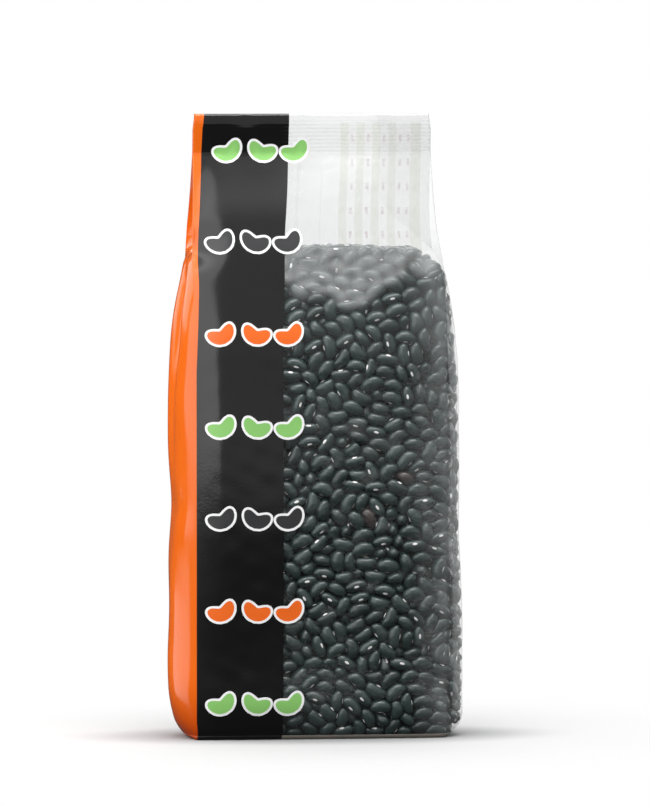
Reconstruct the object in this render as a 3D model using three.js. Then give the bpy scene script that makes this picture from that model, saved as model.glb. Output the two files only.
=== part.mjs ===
// A one kilogram bag of dried black beans: a clear side-gusset pouch of thin film, filled, sealed
// across the top, and standing on its block bottom. The film is tight round the beans, so the
// filled bag is one solid. Millimetres, +Z up, the front panel faces -Y.
import * as THREE from "three";
import { LoftGeometry } from "three/addons/geometries/LoftGeometry.js";

const { smoothstep, clamp, lerp } = THREE.MathUtils;

// The whole bag
const bagHeight = 280; // floor to the top edge of the seal
const sealHeight = 18; // flat band across the top, crimped but for its rim
const sealRim = 3; // plain strip above the crimps
const fillHeight = 223; // floor to the top of the beans
const shoulderHeight = 180; // above it the front and back lean in towards the seal
const footHeight = 18; // front and back draw in below it

// Half widths, from the centre line to a corner fold of the front or back panel
const filledHalfWidth = 56.5;
const sealHalfWidth = 53.8;
const footHalfWidth = 55.8;
const taperStart = 214; // the panels narrow from here to the seal
const cornerDraw = 0.7; // the top corners are drawn in this far
const sealLean = 1.6; // how far the top leans to the left

// Half depths, from the middle plane to a corner fold
const filledHalfDepth = 22;
const sealHalfDepth = 0.7;
const footHalfDepth = 20.5;

// How far the film swells past the corner folds, and folds in above the beans
const panelSwell = 5;
const headspaceSwell = 1.6; // the little air that is left above the beans
const gussetSwellStart = 150; // the gussets swell fully below this height
const gussetFoldStart = 212; // they fold in above this one
const gussetFoldDepth = 24;

// The two gussets aren't filled alike. end is the height where the swell is gone, settled what it
// gains low down, foot the height of its round at the floor, and power how flat its middle is.
const leftGusset = {
  swell: 9.8,
  end: 222,
  settled: 0,
  foot: 23,
  power: 2.4,
  waistHeight: 104,
  waistDepth: 1.3,
};
const rightGusset = {
  swell: 8,
  end: 214,
  settled: 1.3,
  foot: 10,
  power: 3.4,
  waistHeight: 90,
  waistDepth: 1.4,
};

// Folds and relief of the film
const crimpRidges = 9;
const crimpDepth = 0.3;
const sealWaveDepth = 0.9;
const sealWaveLength = 76;
const finSealHalfShare = 0.095; // of the back panel's half width
const finSealThickness = 0.8;
const pleatDepth = 2.6; // the gusset's old centre crease, pressed out lower down
const pleatHalfWidth = 4;
const pleatPlace = -0.25; // share of the half depth, in front of the middle
const pleatEnd = 95;
const lumpDepth = 0.6; // beans pressing on the film
const lumpWave = 0.17; // radians for each millimetre round the bag
const lumpRise = 0.15; // and up it

// Mesh steps
const panelSteps = 22;
const gussetSteps = 12;
const footRows = 7;
const wallRows = 18;
const shoulderRows = 18;

const sealStart = bagHeight - sealHeight;

// Share of the way from one height to another, held at 0 and 1 outside them.
function shareBetween(low, high, height) {
  return clamp((height - low) / (high - low), 0, 1);
}

// Centre line to corner fold: straight where filled, narrowing to the seal by a power of 2.6.
function panelHalfWidth(height) {
  const foot = lerp(footHalfWidth, filledHalfWidth, smoothstep(height, 0, footHeight / 2));
  const taper = Math.pow(1 - shareBetween(taperStart, bagHeight, height), 2.6);
  const corner = cornerDraw * smoothstep(height, bagHeight - 8, bagHeight);
  return lerp(sealHalfWidth, foot, taper) - corner;
}

// Middle plane to corner fold: the two panels close like a tent from the shoulder to the seal.
function panelHalfDepth(height) {
  const foot = lerp(footHalfDepth, filledHalfDepth, smoothstep(height, 0, 5));
  const closing = 1 - Math.pow(shareBetween(shoulderHeight, sealStart, height), 1.5);
  return lerp(sealHalfDepth, foot, closing);
}

// How far the middle of a front or back panel stands proud of its corner folds.
function panelSwellAt(height) {
  const rising = Math.sqrt(smoothstep(height, -1, footHeight));
  const falling = 1 - smoothstep(height, 170, 232);
  const headspace = 0.5 - 0.5 * Math.cos(2 * Math.PI * shareBetween(186, sealStart, height));
  return panelSwell * rising * falling + headspaceSwell * headspace;
}

// How far a gusset swells outwards: a quarter round at the foot, a parabola below the shoulder.
function gussetSwellAt(height, gusset) {
  const under = 1 - shareBetween(0, gusset.foot, height);
  const over = shareBetween(gussetSwellStart, gusset.end, height);
  const waist = gusset.waistDepth * Math.exp(-Math.pow((height - gusset.waistHeight) / 19, 2));
  const settled = gusset.settled * (1 - smoothstep(height, 70, 130));
  const swell = (gusset.swell + settled) * Math.sqrt(1 - under * under * 0.97) - waist;
  return swell * (1 - over * over);
}

// How far a gusset folds inwards above the beans. The fold is shut by the seal.
function gussetFoldAt(height) {
  const opening = smoothstep(height, gussetFoldStart, sealStart - 18);
  return gussetFoldDepth * opening * (1 - smoothstep(height, sealStart - 6, sealStart));
}

// Uneven low bumps where beans press on the film, from two waves that never line up.
function lumpAt(around, height) {
  const wave = Math.sin(lumpWave * around + 1.2 * Math.sin((lumpRise * height) / 2));
  const cross = Math.sin(lumpRise * height + 1.1 * Math.sin((lumpWave * around) / 2));
  const filled = smoothstep(height, 4, 24) * (1 - smoothstep(height, 196, fillHeight));
  return lumpDepth * wave * cross * filled;
}

// How far the top leans sideways at a height.
function leanAt(height) {
  return -sealLean * smoothstep(height, 200, 232);
}

// The seal's own small waves: across it, and up its crimped ridges.
function sealShiftAt(across, height) {
  const wave = Math.sin((2 * Math.PI * across) / sealWaveLength + 0.6);
  const rise = smoothstep(height, sealStart - 20, bagHeight);
  const ridge = shareBetween(sealStart, bagHeight - sealRim, height) * crimpRidges * 2;
  const crimped = height > sealStart && height < bagHeight - sealRim;
  const crimp = crimped ? Math.cos(Math.PI * Math.round(ridge)) : 0;
  return sealWaveDepth * wave * rise + crimpDepth * crimp;
}

// A point of the front or back panel. share runs from -1 to 1 across it, side is -1 in front.
function panelPoint(share, height, side) {
  const across = share * panelHalfWidth(height);
  const swell = panelSwellAt(height) * (1 - Math.pow(Math.abs(share), 5));
  const onFin = side > 0 && Math.abs(share) <= finSealHalfShare;
  const finSeal = onFin ? finSealThickness * (1 - smoothstep(height, sealStart - 10, sealStart)) : 0;
  const lump = lumpAt(across + side * 40, height) * (1 - Math.pow(share, 6));
  const out = panelHalfDepth(height) + swell + finSeal + lump;
  const back = side * out + sealShiftAt(across, height);
  return new THREE.Vector3(across + leanAt(height), back, height);
}

// A point of a gusset. share runs from -1 in front to 1 at the back, side is -1 on the left.
function gussetPoint(share, height, side) {
  const gusset = side < 0 ? leftGusset : rightGusset;
  const depth = share * panelHalfDepth(height);
  const swell = gussetSwellAt(height, gusset) * (1 - Math.pow(Math.abs(share), gusset.power));
  const fold = gussetFoldAt(height) * (1 - Math.abs(share));
  const fromPleat = (share - pleatPlace) * filledHalfDepth;
  const pleatFade = smoothstep(height, pleatEnd, 185) * (1 - smoothstep(height, 200, 218));
  const pleat = pleatDepth * pleatFade * Math.exp(-Math.pow(fromPleat / pleatHalfWidth, 2));
  const lump = lumpAt(depth + side * 90, height) * (1 - Math.pow(share, 4));
  const out = panelHalfWidth(height) + swell - fold - pleat + lump;
  const back = depth + sealShiftAt(side * out, height);
  return new THREE.Vector3(side * out + leanAt(height), back, height);
}

// Shares across a panel, closer together near its corner folds, where it curves most.
function panelShares() {
  return Array.from({ length: panelSteps }, (_, i) => {
    const even = (2 * i) / panelSteps - 1;
    return lerp(even, Math.sin((Math.PI / 2) * even), 0.6);
  });
}

// The back panel's shares from right to left, with a step at each edge of the fin seal.
function backShares() {
  const edges = [finSealHalfShare, finSealHalfShare + 0.005].flatMap((s) => [s, -s]);
  const spaced = panelShares().filter((s) => Math.abs(Math.abs(s) - finSealHalfShare) > 0.03);
  return [...spaced, ...edges].sort((a, b) => a - b).map((s) => -s);
}

// One closed ring of the bag, counterclockwise seen from above.
function ringAt(height) {
  const gussetShares = Array.from({ length: gussetSteps }, (_, i) => (2 * i) / gussetSteps - 1);
  return [
    ...panelShares().map((share) => panelPoint(share, height, -1)),
    ...gussetShares.map((share) => gussetPoint(share, height, 1)),
    ...backShares().map((share) => panelPoint(share, height, 1)),
    ...gussetShares.map((share) => gussetPoint(-share, height, -1)),
  ];
}

// Ring heights: close together round the foot, up the shoulder, and at each crimp of the seal.
function ringHeights() {
  const rows = (count, low, high, bend = 1) =>
    Array.from({ length: count }, (_, i) => lerp(low, high, Math.pow(i / count, bend)));
  return [
    ...rows(footRows, 0, leftGusset.foot, 1.6),
    ...rows(wallRows, leftGusset.foot, shoulderHeight - 10),
    ...rows(shoulderRows, shoulderHeight - 10, sealStart),
    ...rows(crimpRidges * 2, sealStart, bagHeight - sealRim),
    bagHeight - sealRim,
    bagHeight,
  ];
}

// The bag stands with the middle of its box on the origin.
function bagGeometry() {
  const geometry = new LoftGeometry(ringHeights().map(ringAt), { capStart: true, capEnd: true });
  geometry.computeBoundingBox();
  const middle = geometry.boundingBox.getCenter(new THREE.Vector3());
  return geometry.translate(-middle.x, -middle.y, 0);
}

const filmMaterial = new THREE.MeshStandardMaterial({
  color: 0x2c3232,
  roughness: 0.3,
  metalness: 0,
});

const bag = new THREE.Mesh(bagGeometry(), filmMaterial);
bag.name = "bag";

const group = new THREE.Group();
group.add(bag);

export default group;
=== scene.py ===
import math

import bpy
import numpy as np
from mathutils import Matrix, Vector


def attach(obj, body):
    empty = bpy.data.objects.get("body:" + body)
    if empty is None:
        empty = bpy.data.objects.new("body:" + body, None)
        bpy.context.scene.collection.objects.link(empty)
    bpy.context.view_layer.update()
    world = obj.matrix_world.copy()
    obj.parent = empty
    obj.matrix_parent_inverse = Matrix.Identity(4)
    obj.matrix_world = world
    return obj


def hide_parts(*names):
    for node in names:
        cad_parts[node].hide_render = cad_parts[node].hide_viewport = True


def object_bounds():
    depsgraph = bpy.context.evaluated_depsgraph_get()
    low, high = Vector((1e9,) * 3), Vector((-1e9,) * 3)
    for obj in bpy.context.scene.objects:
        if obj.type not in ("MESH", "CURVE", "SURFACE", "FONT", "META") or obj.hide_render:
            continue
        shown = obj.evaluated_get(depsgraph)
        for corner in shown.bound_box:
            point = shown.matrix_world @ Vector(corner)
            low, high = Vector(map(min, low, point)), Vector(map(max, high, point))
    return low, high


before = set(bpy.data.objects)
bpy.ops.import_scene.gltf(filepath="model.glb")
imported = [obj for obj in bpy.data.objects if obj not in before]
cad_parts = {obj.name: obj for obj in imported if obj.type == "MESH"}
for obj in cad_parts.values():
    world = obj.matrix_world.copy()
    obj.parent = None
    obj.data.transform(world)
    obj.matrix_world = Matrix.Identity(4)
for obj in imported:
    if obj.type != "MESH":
        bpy.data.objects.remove(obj)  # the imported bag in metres, +Z up, its front panel facing -Y
cadLow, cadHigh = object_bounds()
mm = 0.001
print("frame loaded, bag", [round(side, 4) for side in cadHigh - cadLow])

# The bag's own shape, in millimetres. Its height is the frame's.
bag = {
    "height": (cadHigh.z - cadLow.z) / mm,
    "sealHeight": 18.0,  # flat band across the top
    "sealRim": 3.0,  # plain strip above the crimps
    "crimps": 9,
    "crimpDepth": 0.03,
    "printCrimps": 0.35,  # share of it on the printed strip
    "crimpsBegin": (-15.0, -9.0),  # x between which they reach their full depth
    "sealTilt": 0.07,  # how much the seal leans forward
    "lipTilt": 1.3,  # how far the plain strip's top edge leans back
    "lipHeight": 5.5,  # it starts to lean this far below the top
    "lipWaves": ((0.8, 0.16), (0.5, 0.37)),  # how high, and radians for each mm across
    "fillHeight": 223.0,  # top of the beans
    "shoulderHeight": 180.0,  # above it the two panels lean in
    "footHeight": 18.0,
    "filledHalfWidth": 56.5,
    "sealHalfWidth": 53.8,
    "footHalfWidth": 55.8,
    "taperStart": 214.0,  # the panels narrow from here to the seal
    "cornerDraw": 0.7,  # the top corners are drawn in this far
    "sealLean": 1.6,  # how far the top leans to the left
    "filledHalfDepth": 22.0,
    "sealHalfDepth": 0.35,
    "footHalfDepth": 20.5,
    "panelSwell": 5.0,
    "swellFades": (170.0, 232.0),  # heights between which the panels' swell goes
    "headspaceSwell": 1.6,
    "headspaceStart": 186.0,
    "swellStart": 150.0,  # the gussets swell fully below this height
    "footRound": 0.97,  # how much of their swell is gone at the floor
    "settledFades": (70.0, 130.0),
    "waistReach": 19.0,
    "foldStart": 212.0,  # and fold in above this one
    "foldDepth": 24.0,
    "foldFull": 18.0,  # the fold is full this far below the seal
    "leanHeights": (200.0, 232.0),
    "sealWave": 0.9,
    "sealWaveLength": 76.0,
    "finHalfShare": 0.095,  # the seam down the back, as a share of the panel's half width
    "finThickness": 0.8,
    "pleatDepth": 2.6,
    "pleatHalfWidth": 4.0,
    "pleatPlace": -0.25,  # share of the half depth, in front of the middle
    "pleatRises": (95.0, 185.0),
    "pleatFades": (200.0, 218.0),
}
sealStart = bag["height"] - bag["sealHeight"]
crimpsEnd = bag["height"] - bag["sealRim"]
gussets = {
    -1: {  # the left one
        "swell": 9.8,
        "end": 222,  # height where the swell is gone
        "settled": 0.0,  # what it gains low down
        "foot": 23,  # height of its round at the floor
        "power": 2.4,  # the higher, the flatter its middle
        "waist": 1.3,
        "waistHeight": 104,
    },
    1: {
        "swell": 8.0,
        "end": 214,
        "settled": 1.3,
        "foot": 10,
        "power": 3.4,
        "waist": 1.4,
        "waistHeight": 90,
    },
}


def ease(low, high, value):
    # 0 below low, 1 above high, and a smooth cubic between
    t = np.clip((value - low) / (high - low), 0, 1)
    return t * t * (3 - 2 * t)


def ramp(low, high, value):
    # 0 below low, 1 above high, and a straight line between
    return np.clip((value - low) / (high - low), 0, 1)


def mixed(first, second, share):
    # A straight line from the first to the second
    return first + (second - first) * share


def stacked(*sides):
    # One array of points from arrays of their sides
    return np.stack(np.broadcast_arrays(*sides), axis=-1)


def turns(count):
    # Even angles once round
    return np.linspace(0, 2 * np.pi, count, endpoint=False)


def ripples(seed, across, up, length, count=14):
    # A field of about -1 to 1: the mean of sine waves of like length in random directions
    draw = np.random.default_rng(seed)
    total = np.zeros(np.broadcast(across, up).shape)
    for _ in range(count):
        turn, phase = draw.uniform(0, 2 * np.pi, 2)
        wave = 2 * np.pi / (length * draw.uniform(0.75, 1.35))
        total += np.sin(wave * (np.cos(turn) * across + np.sin(turn) * up) + phase)
    return total / math.sqrt(count)


def panelHalfWidth(z):
    # Straight where filled, narrowing to the seal by a power of 2.6, with the top corners drawn in
    foot = mixed(bag["footHalfWidth"], bag["filledHalfWidth"], ease(0, bag["footHeight"] / 2, z))
    taper = (1 - ramp(bag["taperStart"], bag["height"], z)) ** 2.6
    corner = bag["cornerDraw"] * ease(bag["height"] - 8, bag["height"], z)
    return mixed(bag["sealHalfWidth"], foot, taper) - corner


def panelHalfDepth(z):
    # The panels close like a tent from the shoulder to the seal, by a power of 1.5
    foot = mixed(bag["footHalfDepth"], bag["filledHalfDepth"], ease(0, 5, z))
    return mixed(bag["sealHalfDepth"], foot, 1 - ramp(bag["shoulderHeight"], sealStart, z) ** 1.5)


def panelSwellAt(z):
    # How far the middle of a panel stands proud of its corner folds
    filled = np.sqrt(ease(-1, bag["footHeight"], z)) * (1 - ease(*bag["swellFades"], z))
    headspace = 0.5 - 0.5 * np.cos(2 * np.pi * ramp(bag["headspaceStart"], sealStart, z))
    return bag["panelSwell"] * filled + bag["headspaceSwell"] * headspace


def gussetSwellAt(z, gusset):
    # A quarter round at the foot, straight up less a waist, then a parabola that ends by the shoulder
    under = 1 - ramp(0, gusset["foot"], z)
    over = ramp(bag["swellStart"], gusset["end"], z)
    waist = gusset["waist"] * np.exp(-(((z - gusset["waistHeight"]) / bag["waistReach"]) ** 2))
    settled = gusset["settled"] * (1 - ease(*bag["settledFades"], z))
    rounded = np.sqrt(1 - bag["footRound"] * under * under)
    return ((gusset["swell"] + settled) * rounded - waist) * (1 - over * over)


def gussetFoldAt(z):
    # How far the gusset's middle folds in: a smooth cubic from nothing to the full depth
    return bag["foldDepth"] * ease(bag["foldStart"], sealStart - bag["foldFull"], z)


def gussetOut(share, z, side):
    # A gusset's film past its corner folds: the swell, less the fold and a pleat shaped like a bell
    gusset = gussets[side]
    fade = ease(*bag["pleatRises"], z) * (1 - ease(*bag["pleatFades"], z))
    fromPleat = (share - bag["pleatPlace"]) * bag["filledHalfDepth"] / bag["pleatHalfWidth"]
    pleat = bag["pleatDepth"] * fade * np.exp(-(fromPleat**2))
    swell = gussetSwellAt(z, gusset) * (1 - np.abs(share) ** gusset["power"])
    return swell - pleat - gussetFoldAt(z) * (1 - np.abs(share))


def leanAt(z):
    # How far the top leans sideways: a smooth cubic of the height
    return -bag["sealLean"] * ease(*bag["leanHeights"], z)


def sealShift(x, z):
    # A slow sine across the seal, the crimps' cosine up it, a straight lean forward, and a lip that
    # leans back by a square
    wave = bag["sealWave"] * np.sin(2 * np.pi * x / bag["sealWaveLength"] + 0.6)
    crimped = (z > sealStart) & (z < crimpsEnd)
    crimp = np.where(crimped, 1 - np.cos(2 * np.pi * bag["crimps"] * ramp(sealStart, crimpsEnd, z)), 0)
    crimp = crimp * bag["crimpDepth"] * mixed(bag["printCrimps"], 1.0, ease(*bag["crimpsBegin"], x))
    ragged = sum(high * np.sin(x * pace) for high, pace in bag["lipWaves"])
    lip = ramp(0, 6, z - bag["height"] + bag["lipHeight"] + ragged) ** 2
    tilt = bag["sealTilt"] * np.maximum(z - sealStart - 1, 0)
    return wave * ease(sealStart - 20, bag["height"], z) + crimp - tilt + bag["lipTilt"] * lip


def panelPoints(share, z, side):
    # A flat span with a swell over it: the half depth, plus swell times 1 less share to the fifth
    x = share * panelHalfWidth(z)
    fin = bag["finThickness"] * ((side > 0) & (np.abs(share) <= bag["finHalfShare"]))
    fin = fin * (1 - ease(sealStart - 10, sealStart, z))
    out = panelHalfDepth(z) + panelSwellAt(z) * (1 - np.abs(share) ** 5) + fin
    out = out * closedTop(z) + panelRelief(x, z, share, side)
    return stacked(x + leanAt(z), side * out + sealShift(x, z), z)


def gussetPoints(share, z, side):
    # The half width and what stands past it, over the depth between the corner folds
    y = share * panelHalfDepth(z) * closedTop(z)
    x = side * (panelHalfWidth(z) + gussetOut(share, z, side) + gussetRelief(y, z, share, side))
    return stacked(x + leanAt(z), y + sealShift(x, z), z)


def closedTop(z):
    # 1 up to the top edge, where the two panels meet
    return np.where(z < bag["height"] - 1e-6, 1.0, 0.0)


wrinkles = {
    "bumpDepth": 0.05,
    "bumpLength": 11.0,
    "slackDepth": 0.1,
    "slackLength": 46.0,
    "printShare": 0.35,  # of both on the printed strip
    "printEnds": (-22.0, -8.0),
    "gussetBump": 0.06,
    "gussetPush": 0.4,  # the beans push the clear gusset out a little
    "gussetSlack": 0.3,
    "clearSlack": 0.2,  # share of it on the clear gusset
    "offFloor": 12.0,  # everything here starts at the floor and is full from this height
    "belly": 1.4,  # the front is fullest a hand's breadth up
    "bellyHeight": 103.0,
    "bellyReach": 55.0,
}
dents = [
    # where x, y and z, how wide, how high, and how far in x and in y
    (-57.0, -15.0, 219.5, 9.0, 7.5, 0.2, 3.0),
    (-55.5, -7.0, 243.0, 9.5, 19.0, 0.0, 1.6),
    (-66.0, -8.0, 104.0, 9.0, 8.0, 0.8, 0.3),
]


def dented(points):
    # Each dent moves the film by a bell of its distance
    for x, y, z, wide, high, moveX, moveY in dents:
        away = points - np.array([x, y, z])
        bell = np.exp(-(away[..., :2] ** 2).sum(-1) / wide**2 - (away[..., 2] / high) ** 2)
        points[..., 0] += bell * moveX
        points[..., 1] += bell * moveY
    return points


def offFloor(z):
    # A smooth cubic of the height, from the floor up
    return ease(0, wrinkles["offFloor"], z)


def panelRelief(x, z, share, side):
    # Bean-sized bumps where filled, longer waves, and on the front a broad bell of its height
    held = (1 - np.abs(share) ** 4) * (1 - ease(sealStart - 8, sealStart, z)) * offFloor(z)
    filled = 1 - ease(bag["fillHeight"] - 20, bag["fillHeight"], z)
    bumps = wrinkles["bumpDepth"] * filled * ripples(3 + side, x, z, wrinkles["bumpLength"])
    calm = mixed(wrinkles["printShare"], 1.0, ease(*wrinkles["printEnds"], x))
    held = held * np.where((side < 0) & (x < 0), calm, 1.0)
    slack = wrinkles["slackDepth"] * ripples(13 + side, x, z, wrinkles["slackLength"])
    belly = wrinkles["belly"] * np.exp(-(((z - wrinkles["bellyHeight"]) / wrinkles["bellyReach"]) ** 2))
    return held * (bumps + slack) + (1 - np.abs(share) ** 8) * offFloor(z) * belly * (side < 0)


def gussetRelief(y, z, share, side):
    # Long waves on the printed gusset, bean-sized bumps and an even push on the clear one
    held = (1 - np.abs(share) ** 4) * (1 - ease(sealStart - 40, sealStart - 20, z)) * offFloor(z)
    bumps = wrinkles["gussetBump"] * ripples(23 + side, y, z, wrinkles["bumpLength"])
    slack = wrinkles["gussetSlack"] * ripples(33 + side, y * 2, z, wrinkles["slackLength"])
    clear = wrinkles["clearSlack"] * slack + bumps + wrinkles["gussetPush"]
    return held * np.where(side < 0, slack, clear)


# Nodes written as sums: a Wire wraps one socket, and its operators add Math nodes
class Wire:
    def __init__(self, tree, socket=None):
        self.tree = tree
        self.socket = socket

    def node(self, kind, settings=None, sockets=None, out=0):
        made = self.tree.nodes.new(kind)
        for key, value in (settings or {}).items():
            setattr(made, key, value)
        for key, value in (sockets or {}).items():
            if isinstance(value, Wire):
                self.tree.links.new(value.socket, made.inputs[key])
            else:
                made.inputs[key].default_value = value
        return Wire(self.tree, made.outputs[out] if len(made.outputs) else None)

    def maths(self, operation, *values):
        return self.node("ShaderNodeMath", {"operation": operation}, dict(enumerate(values)))

    def __add__(self, other):
        return self.maths("ADD", self, other)

    __radd__ = __add__

    def __mul__(self, other):
        return self.maths("MULTIPLY", self, other)

    __rmul__ = __mul__

    def __sub__(self, other):
        return self.maths("SUBTRACT", self, other)

    def __rsub__(self, other):
        return self.maths("SUBTRACT", other, self)

    def above(self, edge, soft):
        # 0 below edge - soft, 1 above edge + soft, smooth between
        settings = {"interpolation_type": "SMOOTHSTEP"}
        return self.node("ShaderNodeMapRange", settings, {"Value": self, 1: edge - soft, 2: edge + soft})

    def within(self, low, high, soft):
        return self.above(low, soft) * (1 - self.above(high, soft))


def newFinish(name):
    # An empty material and the wire that its nodes start from
    material = bpy.data.materials.new(name)
    material.use_nodes = True
    material.node_tree.nodes.clear()
    return material, Wire(material.node_tree)


def clouded(start, scale, detail):
    # The point in the piece's own metres, and a soft noise there
    place = start.node("ShaderNodeTexCoord", out=3)
    return place, noise(start, place, scale, detail)


def painted(start, mask, under, over):
    # A colour mix: under where the mask is 0, over where it is 1
    return start.node("ShaderNodeMix", {"data_type": "RGBA"}, {0: mask, 6: under, 7: over}, out=2)


def noise(start, place, scale, detail=2.0, rough=0.5):
    return start.node(
        "ShaderNodeTexNoise", {}, {"Vector": place, "Scale": scale, "Detail": detail, "Roughness": rough}
    )


def bumped(start, height, strength, distance):
    return start.node("ShaderNodeBump", {}, {"Height": height, "Strength": strength, "Distance": distance})


def measured(start, name):
    # A number that newPiece wrote for each point
    return start.node("ShaderNodeAttribute", {"attribute_name": name}, out=2)


def gloss(start, sockets):
    return start.node("ShaderNodeBsdfPrincipled", {}, sockets)


def blend(start, share, first, second):
    # A mix of two shaders: the first where the share is 0, the second where it is 1
    return start.node("ShaderNodeMixShader", {}, {0: share, 1: first, 2: second})


def endWith(start, shader):
    start.node("ShaderNodeOutputMaterial", {}, {"Surface": shader})


def placed(name, data):
    # A new object of that mesh, lamp or camera, in the scene
    thing = bpy.data.objects.new(name, data)
    bpy.context.scene.collection.objects.link(thing)
    return thing


def newPiece(name, points, faces, material, attributes=None):
    # points are millimetres; faces is a list of arrays with one row of point numbers for each face
    mesh = bpy.data.meshes.new(name)
    mesh.from_pydata((points.reshape(-1, 3) * mm).tolist(), [], [row for f in faces for row in f.tolist()])
    for key, values in (attributes or {}).items():
        layer = mesh.attributes.new(key, "FLOAT", "POINT")
        layer.data.foreach_set("value", np.asarray(values, np.float32).ravel())
    mesh.polygons.foreach_set("use_smooth", np.ones(len(mesh.polygons), bool))
    mesh.materials.append(material)
    mesh.update()
    piece = placed(name, mesh)
    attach(piece, "root")
    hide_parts("bag")
    print("made", name, len(mesh.polygons), "faces")


def gridFaces(rows, columns, closed=False):
    # One four-sided face for each cell of the grid, joined round to its first column where closed
    below = np.arange(rows - 1)[:, None] * columns
    left = np.arange(columns if closed else columns - 1)[None, :]
    right = (left + 1) % columns
    corners = [below + left, below + right, below + columns + right, below + columns + left]
    return stacked(*corners).reshape(-1, 4)


# The film, as two sheets that share the edge of the printed strip
film = {
    "footRows": 14,
    "wallRows": 96,
    "shoulderRows": 74,
    "rowsPerCrimp": 6,
    "rimRows": 4,
    "gussetColumns": 44,
    "stripColumns": 44,
    "windowColumns": 70,
    "backColumns": 96,
    "wallEnd": 170.0,  # the wall's rows end here and the shoulder's closer ones start
    "stripEnd": (-0.311, -0.193),  # where the printed strip ends low down and at the top
    "stripWidens": (175.0, 275.0),
    "orangeEnd": -0.992,  # where the gusset's colour ends low down
    "orangeWrap": 0.075,  # and how much further it reaches at the top
    "orangeWidens": (165.0, 275.0),
    "oranges": ((0.76, 0.123, 0.004, 1), (0.82, 0.147, 0.008, 1)),
    # painted shade: a darker orange near the floor
    "orangePaintedShade": (0.4, 0.036, 0.0005, 1),
    "footShade": (0.012, 0.018),  # heights of the painted shade at the foot: metres up its middle is, and from there to its ends
    "blacks": ((0.0045, 0.0045, 0.0047, 1), (0.0065, 0.0065, 0.0068, 1)),
}


def filmRows():
    # Heights that are close together round the foot and over the crimps
    return np.concatenate([
        bag["footHeight"] * np.linspace(0, 1, film["footRows"], endpoint=False) ** 1.5,
        np.linspace(bag["footHeight"], film["wallEnd"], film["wallRows"], endpoint=False),
        np.linspace(film["wallEnd"], sealStart, film["shoulderRows"], endpoint=False),
        np.linspace(sealStart, crimpsEnd, bag["crimps"] * film["rowsPerCrimp"], endpoint=False),
        np.linspace(crimpsEnd, bag["height"] - 0.05, film["rimRows"]),
        [bag["height"]],
    ])[:, None]


def stripEndShare(z):
    # Where the printed strip ends on the front, a share of its half width
    return mixed(*film["stripEnd"], ease(*film["stripWidens"], z))


def orangeEndShare(z):
    # Where the gusset's colour ends on the front: by the corner fold below, a little past it above
    return film["orangeWrap"] * ramp(*film["orangeWidens"], z) + film["orangeEnd"]


def cosSpaced(count):
    # Shares from -1 to 1, closer together near both ends
    even = np.linspace(-1, 1, count)
    return mixed(even, np.sin(even * np.pi / 2), 0.6)


def backShares():
    # Right to left, with a step at each edge of the seam
    half = bag["finHalfShare"]
    spaced = cosSpaced(film["backColumns"])
    spaced = spaced[np.abs(np.abs(spaced) - half) > 0.012]
    edges = [half, half + 0.004, -half, -half - 0.004]
    return np.sort(np.concatenate([spaced, edges]))[::-1]


def printedInk():
    # Orange up to the ink's edge and black past it, with painted shade darkening the orange at the foot,
    # under a fine grain
    material, start = newFinish("printedFilm")
    place, cloud = clouded(start, 60, 3)
    ink = measured(start, "inkEdge")
    height = start.node("ShaderNodeSeparateXYZ", {}, {0: place}, out=2)
    orange = painted(start, cloud, *film["oranges"])
    # painted shade: the orange turns darker towards the floor
    orange = painted(start, height.above(*film["footShade"]), film["orangePaintedShade"], orange)
    black = painted(start, cloud, *film["blacks"])
    colour = painted(start, ink.above(0.0, 0.12), orange, black)
    grain = noise(start, place, 900, 2)
    sockets = {
        "Base Color": colour,
        "Roughness": 0.09 + 0.06 * cloud,
        "Specular IOR Level": 0.5,
        "Normal": bumped(start, grain, 0.06, 0.0002),
    }
    endWith(start, gloss(start, sockets))
    return material


# The milky haze of the clear film, partly a painted reflection of the lamps. A spot is its x and z, then how
# far it reaches in each.
hazeAndSheen = {
    "milkAndSheen": 0.2,  # how much of what is behind full haze hides
    "height": 196.0,  # its lower edge on the beans, at the middle of its bow
    "middle": 13.0,
    "bowLeft": 0.0087,
    "bowRight": 0.024,
    "bowMost": 21.0,
    "edge": 4.0,
    "uneven": 0.2,
    "unevenLength": 8.0,
    # painted highlight: a bright spot of glare on the front film
    "glare": 1.5,
    "glareSpot": (48, 213, 7, 6),
    # lighter patches on the beans, partly dust and partly painted glints of the film
    "dustAndSheen": 0.2,
    "dustAndSheenLength": 15.0,
    # painted reflection: a paler spot low on the window
    "lowSheenShare": 0.2,
    "lowSheenSpot": (-5, 18, 28, 26),
    # painted reflection: an uneven pale band down the clear gusset
    "gussetSheenShare": 0.85,
    "gussetBegins": (34, 60),
    "gussetEnds": (205, 222),
    "crimpShare": 0.35,
    "foldClears": 12.0,  # the folded gusset is clear from this far above its start
    "gussetDull": 0.7,  # how dull the clear gusset is; its folded part is 1
    "shineMost": 0.13,  # the most that clear film mirrors
    "pales": ((0.86, 0.87, 0.87, 1), (0.76, 0.78, 0.78, 1)),  # clear and milky
    "through": (0.975, 0.975, 0.975, 1),
}


def spotAt(x, z, spot):
    # A bell of the distance from the spot's middle
    middleX, middleZ, reachX, reachZ = spot
    return np.exp(-(((x - middleX) / reachX) ** 2) - ((z - middleZ) / reachZ) ** 2)


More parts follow.
